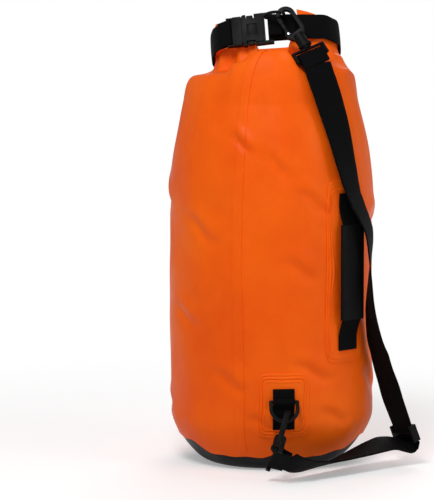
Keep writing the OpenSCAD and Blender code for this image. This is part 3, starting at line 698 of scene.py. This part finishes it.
def welded_patch(name, az, z0, z1, half_angle, corner, welts, stands_for):
    """A patch on the wall with rounded corners and pressed welt lines, as shares of the way from its middle."""
    half_w, half_h = half_angle * BAG_R * math.pi / 180, (z1 - z0) / 2

    def rim_point(angle):
        c, s = math.cos(angle), math.sin(angle)
        scale = min((half_w - corner) / max(1e-9, abs(c)), (half_h - corner) / max(1e-9, abs(s)))
        x, y = c * scale, s * scale
        # pushed out by the corner's radius along the direction of a rounded box
        nx = x / (half_w - corner)
        ny = y / (half_h - corner)
        power = 7
        n = (math.copysign(abs(nx) ** power, nx), math.copysign(abs(ny) ** power, ny))
        n_size = math.hypot(*n)
        return x + corner * n[0] / n_size, y + corner * n[1] / n_size

    def place(u, v):
        x, y = rim_point(u * 2 * math.pi)
        reach = math.hypot(x, y)
        edge = (1 - v) * reach
        lift = 1.0 - 0.9 * bump(edge, 0, 1.2)
        for at in welts:
            lift -= 0.9 * bump(edge, at, 1.1)
            lift += 0.6 * bump(edge, at + 2.2, 1.4)
        return on_skin(az + x * v / BAG_R * 180 / math.pi, (z0 + z1) / 2 + y * v, lift)

    patch = laid_grid(name, 200, 60, place, (0.3, half_w * MM), closed=(True, True))
    thicken(patch, 0.9 * MM, offset=-1)
    smooth(patch, 60)
    return put_on(patch, orange_cloth, stands_for=stands_for)


welded_patch("lower_ring_patch", 6, 43, 118, 14.8, 9, (3.5, 7.5), ["lower_patch"])
welded_patch("side_handle_patch", 46, 127, 338, 14.8, 9, (3.5, 8), ["handle_patch"])


# ---- Neck, rolled mouth and band ----
def mouth_roll():
    # the mouth's two layers wound round the stiffener: a flattened spiral carried round the ring
    def place(u, v):
        angle = -80 + 291 * u
        turn = v * 2.6 * 2 * math.pi
        shrink = 1 - 0.30 * v * 2.6 / 2
        h, b = 14.2 * shrink, 3.6 * (1 - 0.75 * v)
        c, s = math.cos(turn), math.sin(turn)
        w = h * math.copysign(abs(s) ** 0.5, s)
        off = -6.4 + b * math.copysign(abs(c) ** 0.6, c)
        off += 0.5 * math.sin(rad(angle) * 11) * (1 if c < 0 else 0.2)
        return at_ring(*ring_line(angle, off), w + 0.5 * math.sin(rad(angle) * 7))

    roll = laid_grid("rolled_mouth_cloth", 170, 150, place, (0.4, 0.16))
    thicken(roll, 0.8 * MM)
    smooth(roll, 60)
    return put_on(
        roll, orange_cloth, stands_for=["rolled_mouth", "lip_stiffener", "inner_lip_band"],
    )


mouth_roll()


def lip_corner(name, start, end, rise, shape):
    """A corner of the lip that stands above the band."""
    def place(u, v):
        angle = start + (end - start) * u
        return at_ring(*ring_line(angle, -3.0 - 1.5 * v), 10 + (4 + rise * shape(u)) * v)

    flap = laid_grid(name, 30, 10, place, (0.03, 0.02))
    thicken(flap, 1 * MM)
    smooth(flap, 60)
    put_on(flap, orange_cloth)


lip_corner("lip_corner_right", -78, -50, 9, lambda u: max(0, 1 - u))
lip_corner("lip_corner_left", 196, 208, 6, lambda u: 0.6 + 0.4 * math.sin(u * 3))
lip_corner("lip_corner_far", 118, 142, 9, lambda u: 1 - 0.25 * (2 * u - 1) ** 8)


def closure_band():
    def place(u, v):
        angle = -88 + 316 * u
        sag = 0.5 * math.sin(rad(angle) * 5) + 0.3 * math.sin(rad(angle) * 13)
        cup = -0.8 * (2 * v - 1) ** 2
        return at_ring(*ring_line(angle, -WEB_T / 2 + 0.6 * sag + cup * 0.5), (v - 0.5) * BAND_W + sag)

    band = laid_grid("closure_band_webbing", 220, 10, place, (0.43, BAND_W * MM))
    thicken(band, 1.8 * MM, rim=0.4 * MM)
    smooth(band, 50)
    return put_on(band, band_cloth, stands_for=["closure_band"])


closure_band()


# ---- Closure buckle and the top ring ----
BUCKLE_V, BUCKLE_YAW, BAR_X, PLUG_BAR_X = -51.5, 8.6, -6, -55.5


def at_buckle(u, v, w):
    c, s = math.cos(rad(BUCKLE_YAW)), math.sin(rad(BUCKLE_YAW))
    return at_ring(BAR_X + (u - BAR_X) * c + v * s, BUCKLE_V - (u - BAR_X) * s + v * c, w)


ring_up = (at_ring(0, 0, 1) - at_ring(0, 0, 0)).normalized()
ring_right = (at_ring(1, 0, 0) - at_ring(0, 0, 0)).normalized()


def way(a, b):
    return (b - a).normalized()


def webbing_loop(name, line, across, width, steps, stands_for, body="root"):
    piece = ribbon(name, line, across, width * MM, 1.8 * MM, steps, 6, rim=0.35 * MM)
    return put_on(piece, band_cloth, body, stands_for)


webbing_loop(
    "socket_webbing_loop", loop_line(at_buckle(BAR_X, 0, 0), ring_right, ring_up, 3 * MM, 27 * MM, 2 * MM), ring_up,
    BAND_W, 60, ["socket_webbing"],
)
plug_turn = rad(30)
plug_way = way(at_buckle(0, 0, 0), at_buckle(-math.cos(plug_turn), math.sin(plug_turn), 0))
webbing_loop(
    "plug_webbing_loop", loop_line(at_buckle(PLUG_BAR_X, 0, 0), plug_way, ring_up, 2.9 * MM, 13.7 * MM, 2.4 * MM),
    ring_up, BAND_W, 50, ["plug_webbing"],
)

from_cad("buckle_socket", "closure_buckle_socket", acetal, 0.7 * MM)
from_cad("buckle_plug", "closure_buckle_plug", acetal, 0.6 * MM)
from_cad("buckle_prong_upper", "closure_buckle_arm_upper", acetal, 0.5 * MM, "prong_upper")
from_cad("buckle_prong_lower", "closure_buckle_arm_lower", acetal, 0.5 * MM, "prong_lower")

TOP_BAR = (-1.5, BUCKLE_V - 2 - 2 * WEB_T - 1.8 - 0.3, 10)
webbing_loop(
    "top_ring_webbing_loop", loop_line(at_ring(*TOP_BAR), -ring_up, ring_right, 2.8 * MM, 22 * MM, 1.2 * MM),
    ring_right, 14.6, 50, ["top_ring_loop"],
)
from_cad("top_d_ring", "top_moulded_d_ring", acetal, 0, "top_ring", 60)


# ---- Lower ring ----
LOW_AZ, LOW_OUT, LOW_BAR_Z, LOW_BAR_H = 6, 120.1, 86, 4.5


def at_wall(az, out, z, x=0.0, y=0.0, h=0.0):
    """X to the right and Y up on the wall, H straight out of it."""
    across = Vector((math.cos(rad(az)), math.sin(rad(az)), 0))
    outward = Vector((math.sin(rad(az)), -math.cos(rad(az)), 0))
    return (across * x + outward * (out + h) + Vector((0, 0, z + y))) * MM


def lower_webbing():
    across = way(at_wall(LOW_AZ, 0, 0), at_wall(LOW_AZ, 0, 0, 1))
    turn = [(3.15 * math.cos(rad(a)), LOW_BAR_H + 3.15 * math.sin(rad(a))) for a in range(-50, 231, 20)]
    profile = [(14.5, 1.2), (7, 1.5), (4, 2.0), *turn, (-4.5, 2.2), (-9, 1.5), (-20, 1.3), (-32.5, 1.2)]
    line = [at_wall(LOW_AZ, LOW_OUT, LOW_BAR_Z, 0, y, h) for y, h in profile]
    return webbing_loop("lower_ring_webbing_strip", line, across, 25, 90, ["lower_ring_webbing"])


lower_webbing()
from_cad("lower_d_ring", "lower_moulded_d_ring", acetal, 0, "lower_ring", 60)


# ---- Side handle ----


def side_handle():
    across = way(at_wall(HANDLE_AZ, 0, 0), at_wall(HANDLE_AZ, 0, 0, 1))
    length = HANDLE_Z[1] - HANDLE_Z[0]
    profile = [
        (0, 1.3), (9, 1.2), (17, 1.3), (24, 2.9), (30, 5), (35, 6.8), (40, 7.8), (50, 8), (70, 8), (length / 2, 8),
    ]
    for end, name in ((0, "handle_webbing_lower"), (1, "handle_webbing_upper")):
        put = lambda y, h: at_wall(HANDLE_AZ, HANDLE_OUT, HANDLE_Z[0], 0, length - y if end else y, h)
        half = ribbon(name, [put(y, h) for y, h in profile], across, BAND_W * MM, 1.9 * MM, 60, 6, rim=0.4 * MM)
        half.data.materials.append(band_cloth)
        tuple(put(20, 2))
        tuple(put(37, 7.4))
        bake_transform(half)
        if end:
            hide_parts("handle_tabs", "handle_webbing")


side_handle()
from_cad("handle_grip", "handle_grip_sleeve", grip_rubber, 1.2 * MM, "handle")


# ---- Snap hooks and the strap's ends ----
for end in ("upper", "lower"):
    from_cad(f"{end}_hook_frame", f"{end}_snap_hook_frame", acetal, 0.7 * MM, f"{end}_hook")
    from_cad(f"{end}_hook_gate", f"{end}_snap_hook_gate", acetal, 0.4 * MM, f"{end}_gate")
    from_cad(f"{end}_hook_eye", f"{end}_swivel_eye", acetal, 0.4 * MM, "root")
    only(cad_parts[f"{end}_gate_pin"])
    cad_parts[f"{end}_gate_pin"].data.materials.clear()
    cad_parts[f"{end}_gate_pin"].data.materials.append(steel)
from_cad("strap_slider", "strap_adjuster_slider", acetal, 0.6 * MM, "slider")

ENDS = {
    "upper": (Vector((43.4, -81.18, 482.12)), Vector((0.512, -0.38, -0.77)), Vector((0.8262, 0.4633, 0.3207))),
    "lower": (Vector((1.94, -173.38, 30.63)), Vector((0.915, 0.074, -0.397)), Vector((-0.3304, 0.7027, -0.6301))),
}
for end, (bar, toward, across) in ENDS.items():
    made = ribbon(
        f"{end}_strap_end_loop", loop_line(bar * MM, toward, across, 3.4 * MM, 15 * MM, 1.0 * MM),
        across.normalized(), 34 * MM, 1.8 * MM, 60, 6,
    )
    put_on(made, strap_cloth, stands_for=[f"{end}_strap_loop"])

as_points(strap_line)


# ---- Floor, light and background ----
def studio():
    bpy.ops.mesh.primitive_plane_add(size=30, location=(0, 0, 0))
    floor = bpy.context.object
    floor.name = "floor"
    made, tree, shader = surface("pale_floor", Roughness=0.9, Specular_IOR_Level=0.05)
    shader.inputs["Base Color"].default_value = lin("#E9E9E9")
    path = add(tree, "ShaderNodeLightPath")
    seen = add(
        tree, "ShaderNodeMath", {0: path.outputs["Is Camera Ray"], 1: path.outputs["Is Glossy Ray"]},
        operation="MAXIMUM",
    )
    seen = add(
        tree, "ShaderNodeMath", {0: seen.outputs[0], 1: path.outputs["Is Transmission Ray"]}, operation="MAXIMUM",
    )
    # away from the bag the floor goes over into plain white
    place = add(tree, "ShaderNodeTexCoord")
    far = add(tree, "ShaderNodeVectorMath", {0: place.outputs["Object"]}, operation="LENGTH")
    far = add(
        tree, "ShaderNodeMapRange", {"Value": far.outputs["Value"], "From Min": 0.3, "From Max": 0.95},
        interpolation_type="SMOOTHSTEP",
    )
    glow = add(tree, "ShaderNodeEmission", {"Color": (1, 1, 1, 1), "Strength": 0.3})
    near = add(tree, "ShaderNodeAddShader", {0: shader.outputs[0], 1: glow.outputs[0]})
    white = add(tree, "ShaderNodeEmission", {"Color": (1, 1, 1, 1), "Strength": 1.0})
    shown = add(tree, "ShaderNodeMixShader", {0: far.outputs["Result"], 1: near.outputs[0], 2: white.outputs[0]})
    whole = add(tree, "ShaderNodeMixShader", {0: seen.outputs[0], 1: shader.outputs[0], 2: shown.outputs[0]})
    tree.links.new(whole.outputs[0], tree.nodes["Material Output"].inputs["Surface"])
    floor.data.materials.append(made)

    world = bpy.data.worlds.new("studio")
    bpy.context.scene.world = world
    world.use_nodes = True
    tree = world.node_tree
    tree.nodes.clear()
    path = add(tree, "ShaderNodeLightPath")
    seen = add(
        tree, "ShaderNodeMath", {0: path.outputs["Is Camera Ray"], 1: path.outputs["Is Transmission Ray"]},
        operation="MAXIMUM",
    )
    light = add(tree, "ShaderNodeBackground", {"Color": (1, 1, 1, 1), "Strength": 0.33})
    white = add(tree, "ShaderNodeBackground", {"Color": (1, 1, 1, 1), "Strength": 1.0})
    choose = add(tree, "ShaderNodeMixShader", {0: seen.outputs[0], 1: light.outputs[0], 2: white.outputs[0]})
    add(tree, "ShaderNodeOutputWorld", {"Surface": choose.outputs[0]})

    for name, place, size, power in (
        (
            "key", (-0.35, -1.2, 1.62), 0.6, 18.5,
        ), ("side", (1.9, -1.2, 0.9), 0.8, 8), ("behind", (0.4, 1.9, 1.5), 1.2, 16),
    ):
        lamp = bpy.data.lights.new(name, "AREA")
        lamp.shape, lamp.size, lamp.energy = "SQUARE", size, power
        stand = bpy.data.objects.new(name, lamp)
        stand.location = place
        stand.rotation_mode = "QUATERNION"
        stand.rotation_quaternion = (Vector((0, 0, 0.27)) - Vector(place)).to_track_quat("-Z", "Y")
        bpy.context.scene.collection.objects.link(stand)


studio()
bpy.context.scene.view_settings.view_transform = "Standard"
